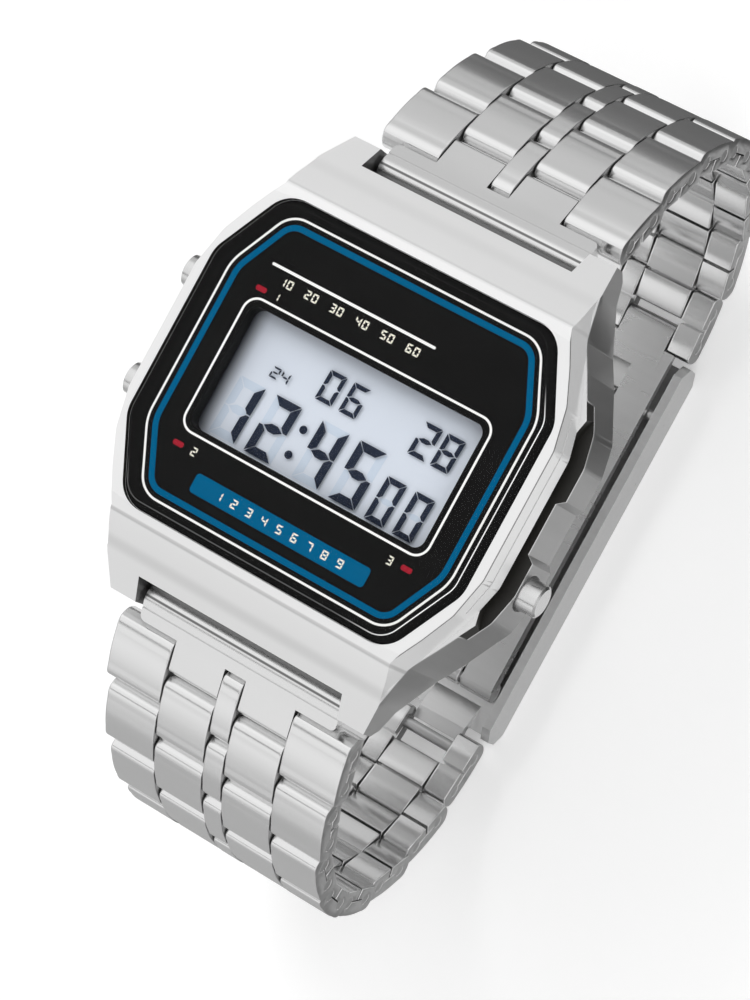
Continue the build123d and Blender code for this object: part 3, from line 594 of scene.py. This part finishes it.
# Printed plate: black, with a white and a blue line round it, a white frame round the window,
# a white rule, three red marks beside the buttons, a blue bar and rows of small plain numbers.
print_low = print_level + 0.002 * mm
print_high = print_level + film
stripe_in = 0.45 * mm
stripe_wide = 0.45 * mm
window_frame = (10.62 * mm, 4.9 * mm, -5.86 * mm)
window_frame_rounds = (1.1 * mm, 1.1 * mm)
rule = (-10.24 * mm, 3.94 * mm, 7.56 * mm, 0.21 * mm)
red_marks = [(-10.05 * mm, 5.55 * mm), (-10.0 * mm, -6.98 * mm), (9.9 * mm, -6.92 * mm)]
red_size = (0.9 * mm, 0.4 * mm)
bar_box = (-7.54 * mm, 7.66 * mm, -9.6 * mm, -8.1 * mm)
bar_round = 0.3 * mm
rule_number_size = (0.17, 0.27, 0.12, 0.02)
mark_number_size = (0.17, 0.27, 0.11, 0.02)
number_rows = [(str(10 * step), (2.2 * step - 10.7, 6.71), 0.62, rule_number_size)
               for step in range(1, 7)]
number_rows += [
    ("1", (-8.7, 5.56), 0.55, (0.15, 0.24, 0.11, 0.02)),
    ("2", (-8.6, -6.98), 0.55, mark_number_size),
    ("3", (8.5, -6.95), 0.55, mark_number_size),
]
bar_numbers = ("123456789", (0.06, -8.85), 1.32, (0.19, 0.27, 0.12, 0.02))
digit_strokes = {"0": "abcdef", "1": "bc", "2": "abdeg", "3": "abcdg", "4": "bcfg", "5": "acdfg",
                 "6": "acdefg", "7": "abc", "8": "abcdefg", "9": "abcdfg"}


def ink(name, colour, worn=0.9):
    """Printing ink, slightly uneven."""
    material, start, surface = new_finish(name)
    patches = noise(surface_point(start), 900.0, 3.0)
    pale = tuple(worn * part for part in colour)
    connect(surface, {"Base Color": mix_colours(patches, (*colour, 1.0), (*pale, 1.0)), "Roughness": 0.45,
                      "Specular IOR Level": 0.02})
    return material


def dress(nodes, finish):
    """Gives CAD nodes their finish."""
    for node in nodes:
        mesh = frame["nodes"][node].data
        mesh.materials.clear()
        mesh.materials.append(finish)


def box_outline(low_x, high_x, low_y, high_y):
    return [(low_x, low_y), (high_x, low_y), (high_x, high_y), (low_x, high_y)]


def box_about(x, y, wide, high):
    """A box outline about its middle."""
    return box_outline(x - wide / 2, x + wide / 2, y - high / 2, y + high / 2)


def stroke_outlines(half_wide, half_high, stroke, gap):
    """The seven strokes of a digit about its middle, mitred, each with half a gap at its ends."""
    half = stroke / 2
    far_x, near_x = half_wide + half, half_wide - half
    far_y, near_y = half_high + half, half_high - half
    top = [(gap - far_x, far_y), (gap - near_x, near_y), (near_x - gap, near_y), (far_x - gap, far_y)]
    upper = [(far_x, far_y - gap), (near_x, near_y - gap), (near_x, half + gap),
             (half_wide, gap), (far_x, gap)]
    middle = [(gap - half_wide, 0), (-near_x / 2, -half), (near_x / 2, -half), (half_wide - gap, 0),
              (near_x / 2, half), (-near_x / 2, half)]
    left = [(-x, y) for x, y in reversed(upper)]
    foot, lower, lower_left = [[(x, -y) for x, y in reversed(outline)] for outline in (top, upper, left)]
    return {"a": top, "b": upper, "c": lower, "d": foot, "e": lower_left, "f": left, "g": middle}


def write_digits(shape, row, low, high, slant=0.0, lit=True):
    """Adds a row of seven-stroke digits, or the strokes that each digit leaves dark. A row is its text, its
    middle, its pitch and its digits' half width, half height, stroke and gap, in millimetres."""
    text, (middle_x, middle_y), pitch, sizes = row
    outlines = stroke_outlines(*sizes)
    for place, digit in enumerate(text):
        shift = middle_x + (place - (len(text) - 1) / 2) * pitch
        for stroke, outline in outlines.items():
            if (stroke in digit_strokes[digit]) == lit:
                path = [((shift + x + slant * y) * mm, (middle_y + y) * mm) for x, y in outline]
                prism(shape, path, low, high)


def new_solid_piece(name, shape, finish, body, slot, *nodes, sharp=None):
    """A piece whose faces look outwards, smooth up to the sharp angle if one is given."""
    bmesh.ops.recalc_face_normals(shape, faces=shape.faces)
    if sharp:
        shade_smooth(shape, sharp)
    return new_piece(name, shape, finish, body, slot, *nodes)


def print_line(shape, corners, radii, outside, inside):
    """Adds a printed line between two distances outside the outline."""
    prism(shape, spread(corners, radii, outside), print_low, print_high, spread(corners, radii, inside))


dress(["dial_plate"], gloss_black("plate_black"))
shape = bmesh.new()
print_line(shape, line_corners, line_rounds, line_wide / 2, -line_wide / 2)
frame_x, frame_top, frame_foot = window_frame
frame_corners = box_outline(-frame_x, frame_x, frame_foot, frame_top)
print_line(shape, frame_corners, window_frame_rounds, line_wide / 2, -line_wide / 2)
rule_from, rule_to, rule_y, rule_wide = rule
rule_outline = box_outline(rule_from, rule_to, rule_y - rule_wide / 2, rule_y + rule_wide / 2)
prism(shape, rounded(rule_outline, rule_wide * 0.45), print_low, print_high)
white_ink = ink("white_ink", (0.95, 0.95, 0.93), 0.97)
new_solid_piece("white_lines", shape, white_ink, "watch_case", "dial_print")

shape = bmesh.new()
print_line(shape, line_corners, line_rounds, -stripe_in, -stripe_in - stripe_wide)
prism(shape, rounded(box_outline(*bar_box), bar_round), print_low, print_high)
blue_ink = ink("blue_ink", (0.001, 0.115, 0.255))
new_solid_piece("blue_stripe_and_bar", shape, blue_ink, "watch_case", "dial_print")

shape = bmesh.new()
for place in red_marks:
    prism(shape, rounded(box_about(*place, *red_size), red_size[1] * 0.4), print_low, print_high)
new_solid_piece("red_marks", shape, ink("red_ink", (0.36, 0.018, 0.033)), "watch_case", "dial_print")

shape = bmesh.new()
for row in number_rows:
    write_digits(shape, row, print_low, print_high)
write_digits(shape, bar_numbers, print_high, print_high + film)
new_solid_piece("plain_numbers", shape, ink("cream_ink", (0.90, 0.88, 0.76)), "watch_case", "dial_print")

# Display: a rear sheet under a pale reflector foil, a clear front sheet, and the digits between them.
# The digits stand a little above the foil, so that they throw a soft shadow on it.
# The foil carries a painted shadow along the window's nine and twelve o'clock sides.
lcd_low, lcd_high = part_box("lcd_panel")
sheet_thick = (lcd_high.z - lcd_low.z) / 2
sheet_inset = 0.02 * mm
digit_level = lcd_high.z - sheet_thick / 2
foil_high = digit_level - 0.2 * mm
foil_low = lcd_high.z - sheet_thick + film / 2
ledge = 1.4 * mm
window_x, window_top = 10.1 * mm, 4.35 * mm
# Widths of the painted shadow along the window's left and top sides.
side_shadow = (0.5 * mm, 1.2 * mm)
top_shadow = 0.9 * mm
digit_groups = [
    ("12", (-6.36, -2.87), 3.22, (0.845, 2.0, 0.63, 0.05)),
    ("45", (1.04, -2.87), 3.25, (0.845, 2.0, 0.63, 0.05)),
    ("00", (6.70, -3.55), 2.40, (0.62, 1.50, 0.42, 0.045)),
    ("28", (6.93, 1.50), 1.93, (0.59, 1.12, 0.35, 0.045)),
    ("06", (-1.26, 1.68), 2.06, (0.56, 1.02, 0.32, 0.04)),
    ("24", (-6.24, 0.75), 0.86, (0.28, 0.36, 0.13, 0.02)),
]
ghost_groups = 3
digit_slant = 0.045
colon_places = [(-2.64 * mm, -1.87 * mm), (-2.74 * mm, -3.93 * mm)]
colon_radius = 0.31 * mm
round_steps = 20


def reflector_finish(name, tint=(1.0, 1.0, 1.0)):
    """Pale blue-grey foil, with a soft band of painted shadow along the window's nine and twelve o'clock
    sides.
    A tint makes the faint trace of a stroke that is off."""
    material, start, surface = new_finish(name)
    point = surface_point(start)
    x, y = axes_of(point)[:2]
    # Painted shadow of the window's walls, along its left and top sides.
    painted_left_shadow = 1.0 - rise(x, -window_x - side_shadow[0], -window_x + side_shadow[1])
    painted_top_shadow = 1.0 - rise(window_top - y, 0.0, top_shadow)
    light, full = [(*[part * share for part, share in zip(tone, tint)], 1.0)
                   for tone in ((0.75, 0.81, 0.91), (0.80, 0.86, 0.95))]
    foil = mix_colours(noise(point, 130.0), light, full)
    shaded = mix_colours(painted_top_shadow * 0.35, foil, (0.30, 0.32, 0.38, 1.0))
    connect(surface, {"Base Color": mix_colours(painted_left_shadow, shaded, (0.008, 0.009, 0.014, 1.0)),
                      "Roughness": 0.55, "Specular IOR Level": 0.3})
    return material


def segment_finish(name, tone):
    """A switched stroke of the display."""
    material, start, surface = new_finish(name)
    paler = tuple(1.25 * part for part in tone)
    mottled = mix_colours(noise(surface_point(start), 700.0), (*tone, 1.0), (*paler, 1.0))
    connect(surface, {"Base Color": mottled, "Roughness": 0.5, "Specular IOR Level": 0.1})
    return material


full_panel = box_outline(lcd_low.x, lcd_high.x, lcd_low.y, lcd_high.y)
shape = bmesh.new()
prism(shape, box_outline(lcd_low.x, lcd_high.x, lcd_low.y + ledge, lcd_high.y - ledge), lcd_low.z, foil_low)
prism(shape, full_panel, foil_low, foil_high)
foil_finish = reflector_finish("display_foil")
new_solid_piece("display_reflector", shape, foil_finish, "watch_case", "display", "lcd_panel")
shape = bmesh.new()
prism(shape, grown(full_panel, -sheet_inset), digit_level + 2 * film, lcd_high.z)
new_solid_piece("display_front_sheet", shape, clear_glass("display_glass", 0.03), "watch_case", "display")

shape = bmesh.new()
for group in digit_groups:
    write_digits(shape, group, digit_level, digit_level + film, digit_slant)
for x, y in colon_places:
    dot = [(x + colon_radius * math.cos(turn), y + colon_radius * math.sin(turn))
           for turn in (math.tau * step / round_steps for step in range(round_steps))]
    prism(shape, dot, digit_level, digit_level + film)
on_finish = segment_finish("display_on_strokes", (0.018, 0.025, 0.045))
new_solid_piece("display_digits", shape, on_finish, "watch_case", "display")
shape = bmesh.new()
for group in digit_groups[:ghost_groups]:
    write_digits(shape, group, foil_high, foil_high + film, digit_slant, lit=False)
off_finish = reflector_finish("display_off_strokes", (0.86, 0.91, 0.95))
new_solid_piece("display_ghosts", shape, off_finish, "watch_case", "display")

# Module: moulded tray, light guide and its lamp, board with its chip, rubber contact strips, quartz can,
# button cell and its sprung strap. They lie inside the closed case.


def moulded(name, colour, rough):
    """Moulded plastic or rubber with a fine grain."""
    material, start, surface = new_finish(name)
    grain = noise(surface_point(start), 2500.0, 3.0)
    dark = tuple(0.8 * part for part in colour)
    bump = start.node("ShaderNodeBump", (), {"Strength": 0.3, "Distance": 0.01 * mm, "Height": grain})
    connect(surface, {"Base Color": mix_colours(grain, (*colour, 1.0), (*dark, 1.0)),
                      "Roughness": rough + grain * 0.1, "Specular IOR Level": 0.4, "Normal": bump})
    return material


dress(["module_frame"], moulded("module_plastic", (0.06, 0.06, 0.065), 0.6))
dress(["light_guide"], moulded("light_guide_clear", (0.70, 0.76, 0.72), 0.2))
dress(["lamp"], moulded("lamp_cover", (0.82, 0.78, 0.45), 0.3))
dress(["contact_strips"], moulded("contact_rubber", (0.10, 0.10, 0.11), 0.7))
dress(["circuit_board"], moulded("circuit_board_green", (0.02, 0.14, 0.06), 0.4))
dress(["quartz_can"], steel("quartz_can", 0.75, 0.65, 0.25))
dress(["battery"], steel("battery_can", 0.74, 0.68, 0.3, (300, 300, 300)))
dress(["battery_clamp"], steel("clamp_steel", 0.68, 0.6, 0.3))

# Case back: pressed steel plate, brushed along X, on its rubber gasket, with four slotted screws.
# The brass buzzer disc is bonded inside it.
dress(["case_back"], steel("back_steel", 0.70, 0.55, 0.34, (60, 2600, 2600), 0.001 * mm))
dress(["back_screws"], steel("screw_steel", 0.66, 0.6, 0.26))
dress(["back_gasket", "button_seals"], moulded("seal_rubber", (0.02, 0.02, 0.02), 0.7))
buzzer_finish, start, surface = new_finish("buzzer_brass")
patches = noise(surface_point(start), 600.0)
connect(surface, {"Base Color": mix_colours(patches, (0.72, 0.52, 0.22, 1.0), (0.60, 0.42, 0.16, 1.0)),
                  "Metallic": 1.0, "Roughness": 0.3})
dress(["buzzer_disc"], buzzer_finish)

# Push buttons: turned steel heads with a small chamfer, each on a shaft with a retaining clip.
# A coil spring between the head and the floor of its well pushes each button out.
button_head = 1.25 * mm
button_shaft = 0.62 * mm
button_clip = 1.0 * mm
head_long = 1.95 * mm
clip_from = 0.55 * mm
clip_to = 0.75 * mm
edge_chamfer = 0.05 * mm
head_chamfer = 0.13 * mm
face_chamfer = (0.04 * mm, 0.06 * mm)
spring_radius = 1.275 * mm
spring_wire = 0.09 * mm
spring_turns = 3.5
button_travel = 0.7 * mm
button_steel = steel("button_steel", 0.80, 0.70, 0.22, (900, 900, 900), 0.0006 * mm)
spring_steel = steel("spring_steel", 0.66, 0.58, 0.25)


def lathe(shape, profile, centre_y, centre_z, sides=40):
    """Adds a solid turned about an axis along X, from (x, radius) points."""
    rings = []
    for x, radius in profile:
        count = sides if radius else 1
        rings.append([shape.verts.new((x, centre_y + radius * math.cos(math.tau * side / sides),
                                       centre_z + radius * math.sin(math.tau * side / sides)))
                      for side in range(count)])
    for near, far in zip(rings, rings[1:]):
        for side in range(sides):
            after = (side + 1) % sides
            corners = (near[side % len(near)], near[after % len(near)],
                       far[after % len(far)], far[side % len(far)])
            shape.faces.new(list(dict.fromkeys(corners)))


def tube(shape, path, radius, sides=8):
    """Adds a closed round wire along a path."""
    rings = []
    for step, here in enumerate(path):
        along = (path[min(step + 1, len(path) - 1)] - path[max(step - 1, 0)]).normalized()
        across = along.cross(Vector((1, 0, 0))).normalized()
        other = along.cross(across)
        rings.append([shape.verts.new(here + radius * (across * math.cos(turn) + other * math.sin(turn)))
                      for turn in (math.tau * side / sides for side in range(sides))])
    for near, far in zip(rings, rings[1:]):
        for side in range(sides):
            after = (side + 1) % sides
            shape.faces.new((near[side], near[after], far[after], far[side]))
    shape.faces.new(reversed(rings[0]))
    shape.faces.new(rings[-1])


def button_profile(reach):
    """(x, radius) points from the inner end of the shaft, past its clip, to the face of the head."""
    head_from = reach - head_long
    face_radius = button_head - head_chamfer
    shaft = [(0, 0), (0, button_shaft - edge_chamfer), (edge_chamfer, button_shaft)]
    clip = [(clip_from, button_shaft), (clip_from, button_clip),
            (clip_to, button_clip), (clip_to, button_shaft)]
    head = [(head_from, button_shaft), (head_from, button_head - edge_chamfer),
            (head_from + edge_chamfer, button_head), (reach - head_chamfer, button_head),
            (reach - face_chamfer[0], face_radius), (reach, face_radius - face_chamfer[1]), (reach, 0)]
    return shaft + clip + head


for button in ("light_button", "mode_button", "start_button"):
    low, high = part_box(button)
    out = 1 if low.x > 0 else -1
    inner = low.x if out > 0 else high.x
    centre_y, centre_z = (low.y + high.y) / 2, (low.z + high.z) / 2
    profile = [(inner + out * x, radius) for x, radius in button_profile(high.x - low.x)]
    shape = bmesh.new()
    lathe(shape, profile, centre_y, centre_z)
    new_solid_piece(button + "_turned", shape, button_steel, button, "button_steel", button,
                    sharp=sharp_angle)
    low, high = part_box(button + "_spring")
    fixed, free = (low.x, high.x) if out > 0 else (high.x, low.x)
    steps = int(spring_turns * round_steps)
    path = [Vector((fixed + out * spring_wire + (free - fixed - 2 * out * spring_wire) * step / steps,
                    centre_y + spring_radius * math.cos(math.tau * step / round_steps),
                    centre_z + spring_radius * math.sin(math.tau * step / round_steps)))
            for step in range(steps + 1)]
    shape = bmesh.new()
    tube(shape, path, spring_wire)
    spring = new_solid_piece(button + "_coil", shape, spring_steel, "watch_case", "spring_steel",
                             button + "_spring", sharp=sharp_angle)
    spring_long = abs(free - fixed)
    (spring_long - button_travel) / spring_long
    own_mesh(spring)

# Spring bars and end links: a folded plate with its tube on the bar between two lugs.
# A line of painted shade marks the fold between the tube and the plate.
bar_low, bar_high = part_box("spring_bar_12")
bar_y, bar_z = (bar_low.y + bar_high.y) / 2, (bar_low.z + bar_high.z) / 2
end_dip = math.radians(28)
end_edge = 0.08 * mm
fold_place = -0.40 * mm
fold_half = (0.04 * mm, 0.13 * mm)


def end_link_steel():
    """Satin steel with a line of painted shade along the fold between its tube and its plate."""
    material = steel("end_link_steel", 0.86, 0.80, 0.24, (60, 900, 900))
    surface = material.node_tree.nodes["Principled BSDF"]
    start = Shade(material.node_tree)
    tone = Shade(material.node_tree, surface.inputs["Base Color"].links[0].from_socket)
    y, z = axes_of(surface_point(start))[1:]
    # Painted shade: a dark line along the fold between tube and plate.
    along = (abs(y) - bar_y) * math.cos(end_dip) + (bar_z - z) * math.sin(end_dip)
    fold = 1.0 - rise(abs(along - fold_place), *fold_half)
    connect(surface, {"Base Color": mix_colours(fold * 0.85, tone, grey(0.06))})
    return material


end_steel = end_link_steel()
dress(["spring_bar_12", "spring_bar_6"], steel("spring_bar_steel", 0.70, 0.62, 0.25))
for hour in ("12", "6"):
    rounded_copy("end_link_" + hour, "end_plate_" + hour, end_edge, end_steel, "end_link_steel")

# Bracelet links: steel sheet folded round two pins, with a crowned top, round ends and a seam underneath.
# Rows of an outer, a centre and an outer link carry the pins; rows of two wide links hang between them.
link_pitch = 6.0 * mm
link_high = 2.0 * mm
link_gap = 0.12 * mm
link_crown = 0.28 * mm
link_shoulder = math.radians(30)
crown_reach = 0.72
crown_flat = 0.06
knee_reach = 0.80
skin_steps = 8
end_steps = 10
hollow_steps = 14
link_sharp = math.radians(50)
side_round = 0.09 * mm
side_profile = [(0.0, 1.0), (0.3, 0.3), (1.0, 0.0), (1.6, 0.0)]
seam_gap = 0.3 * mm
hollow_half = 0.515 * mm
layer_gap = 0.05 * mm
pin_radius = 0.5 * mm
pin_end_radius = 0.475 * mm
pin_chamfer = 0.03 * mm
pin_inset = 0.04 * mm
side_gap = 0.1 * mm
centre_half = 0.85 * mm
inner_wide = 4.4 * mm
outer_first = 4.95 * mm
outer_last = 2.1 * mm
link_count = 15
# Their side faces are darkened with painted shade.
link_steel = steel("link_steel", 0.88, 0.81, 0.21, (60, 900, 900), side=0.40)
pin_steel = steel("pin_steel", 0.62, 0.55, 0.3, side=0.40)


def arc(centre, radius, start, end, steps):
    turns = [start + (end - start) * step / steps for step in range(steps + 1)]
    return [(centre[0] + radius * math.cos(turn), centre[1] + radius * math.sin(turn)) for turn in turns]


def link_outline():
    """Side view of a folded link, counter-clockwise from its seam: the outer skin, then the hollow."""
    half_high = link_high / 2
    pin_u = link_pitch / 4
    end_radius = link_pitch / 4 - link_gap / 2
    foot_turn = math.asin(half_high / end_radius)
    crown_radius = ((pin_u + end_radius * crown_reach) ** 2 + link_crown ** 2) / (2 * link_crown)
    crown_centre = half_high + link_crown - crown_radius
    crown_half = pin_u + end_radius * crown_flat
    crown = [(u, crown_centre + math.sqrt(crown_radius ** 2 - u ** 2))
             for u in (crown_half - crown_half * step / skin_steps for step in range(skin_steps))]
    right = arc((pin_u, 0), end_radius, -foot_turn, link_shoulder, end_steps)
    shoulder, crown_end = Vector(right[-1]), Vector(crown[0])
    knee = Vector((pin_u + end_radius * knee_reach, crown_end.y))
    for step in range(1, skin_steps + 1):
        share = step / skin_steps
        spot = shoulder * (1 - share) ** 2 + knee * 2 * share * (1 - share) + crown_end * share ** 2
        right.append((spot.x, spot.y))
    quarter = right + crown[1:]
    skin = quarter + [(0.0, half_high + link_crown)] + [(-u, v) for u, v in reversed(quarter)]
    seam = seam_gap / 2
    mouth = math.asin(layer_gap / hollow_half)
    hollow = arc((-pin_u, 0), hollow_half, -mouth, mouth - math.tau, hollow_steps)
    hollow += arc((pin_u, 0), hollow_half, math.pi - mouth, mouth - math.pi, hollow_steps)
    return [(seam, -half_high), *skin, (-seam, -half_high), (-seam, -layer_gap), *hollow, (seam, -layer_gap)]


def inset(path, amount):
    """A closed outline, counter-clockwise, moved inwards by the amount at every point."""
    moved = []
    for before, here, after in zip(path[-1:] + path[:-1], path, path[1:] + path[:1]):
        first = (Vector(here) - Vector(before)).normalized()
        second = (Vector(after) - Vector(here)).normalized()
        inward = Vector((-first.y - second.y, first.x + second.x)) * amount / max(0.5, 1 + first.dot(second))
        moved.append((here[0] + inward.x, here[1] + inward.y))
    return moved


def strip(shape, outline, place, low, high):
    """Adds a bar of this outline across the bracelet, with rounded side edges; place maps (x, u, v)."""
    spots = [(low + along * side_round, inward) for along, inward in side_profile]
    spots += [(high - along * side_round, inward) for along, inward in reversed(side_profile)]
    rings = [[shape.verts.new(place(x, u, v)) for u, v in inset(outline, inward * side_round)]
             for x, inward in spots]
    count = len(outline)
    for near, far in zip(rings, rings[1:]):
        for step in range(count):
            after = (step + 1) % count
            shape.faces.new((near[step], near[after], far[after], far[step]))
    shape.faces.new(rings[0])
    shape.faces.new(reversed(rings[-1]))


def place_between(near, far):
    """Maps across, along and out of the bracelet to the watch's frame, from two pins' places."""
    middle = (near + far) / 2
    along = (far - near).normalized()
    out = Vector((1, 0, 0)).cross(along)
    if out.dot(middle - Vector((0, 0, print_level / 2))) < 0:
        out = -out
    return lambda x, u, v: (middle.x + x, *(middle + along * u + out * v).yz)


pivots = {joint["child"]: Vector(joint["pos_m"]) for joint in frame["joints"] if joint["type"] == "hinge"}
outline = link_outline()
inner_from = centre_half + side_gap
outer_from = inner_from + inner_wide + side_gap
for hour, half in (("12", 1), ("6", -1)):
    names = ["link_{}_{:02d}".format(hour, row + 1) for row in range(link_count)]
    clasp_pin = pivots["lower_blade"].copy()
    clasp_pin.y *= half
    pins = [pivots[name] for name in names] + [clasp_pin]
    for row, name in enumerate(names):
        place = place_between(pins[row], pins[row + 1])
        outer_wide = outer_first + (outer_last - outer_first) * row / (link_count - 1)
        carries_pins = row % 2 == 0
        near, wide = (outer_from, outer_wide) if carries_pins else (inner_from, inner_wide)
        spans = [(near, near + wide), (-near - wide, -near)]
        if carries_pins:
            spans.append((-centre_half, centre_half))
        shape = bmesh.new()
        for low, high in spans:
            strip(shape, outline, place, low, high)
        new_solid_piece(name + "_fold", shape, link_steel, name, "link_steel", name, sharp=link_sharp)
        if carries_pins:
            reach = outer_from + outer_wide - pin_inset
            profile = [(-reach, 0), (-reach, pin_end_radius), (pin_chamfer - reach, pin_radius),
                       (reach - pin_chamfer, pin_radius), (reach, pin_end_radius), (reach, 0)]
            shape = bmesh.new()
            for pin in pins[row:row + 2]:
                lathe(shape, profile, pin.y, pin.z, round_steps)
            new_solid_piece(name + "_pins", shape, pin_steel, name, "link_steel", sharp=sharp_angle)

# Folding clasp: a pressed cover with the middle and lower blades hinged inside it, brushed along X.
# Their edges are a little rounded, as pressing and polishing leave them.
clasp_edge = 0.08 * mm
clasp_steel = steel("clasp_steel", 0.76, 0.62, 0.30, (60, 2400, 2400), 0.0008 * mm)
blade_steel = steel("blade_steel", 0.70, 0.60, 0.28)
for node, finish, slot in (("clasp_cover", clasp_steel, "clasp_steel"),
                           ("middle_blade", blade_steel, "blade_steel"),
                           ("lower_blade", blade_steel, "blade_steel")):
    rounded_copy(node, node + "_pressed", clasp_edge, finish, slot)
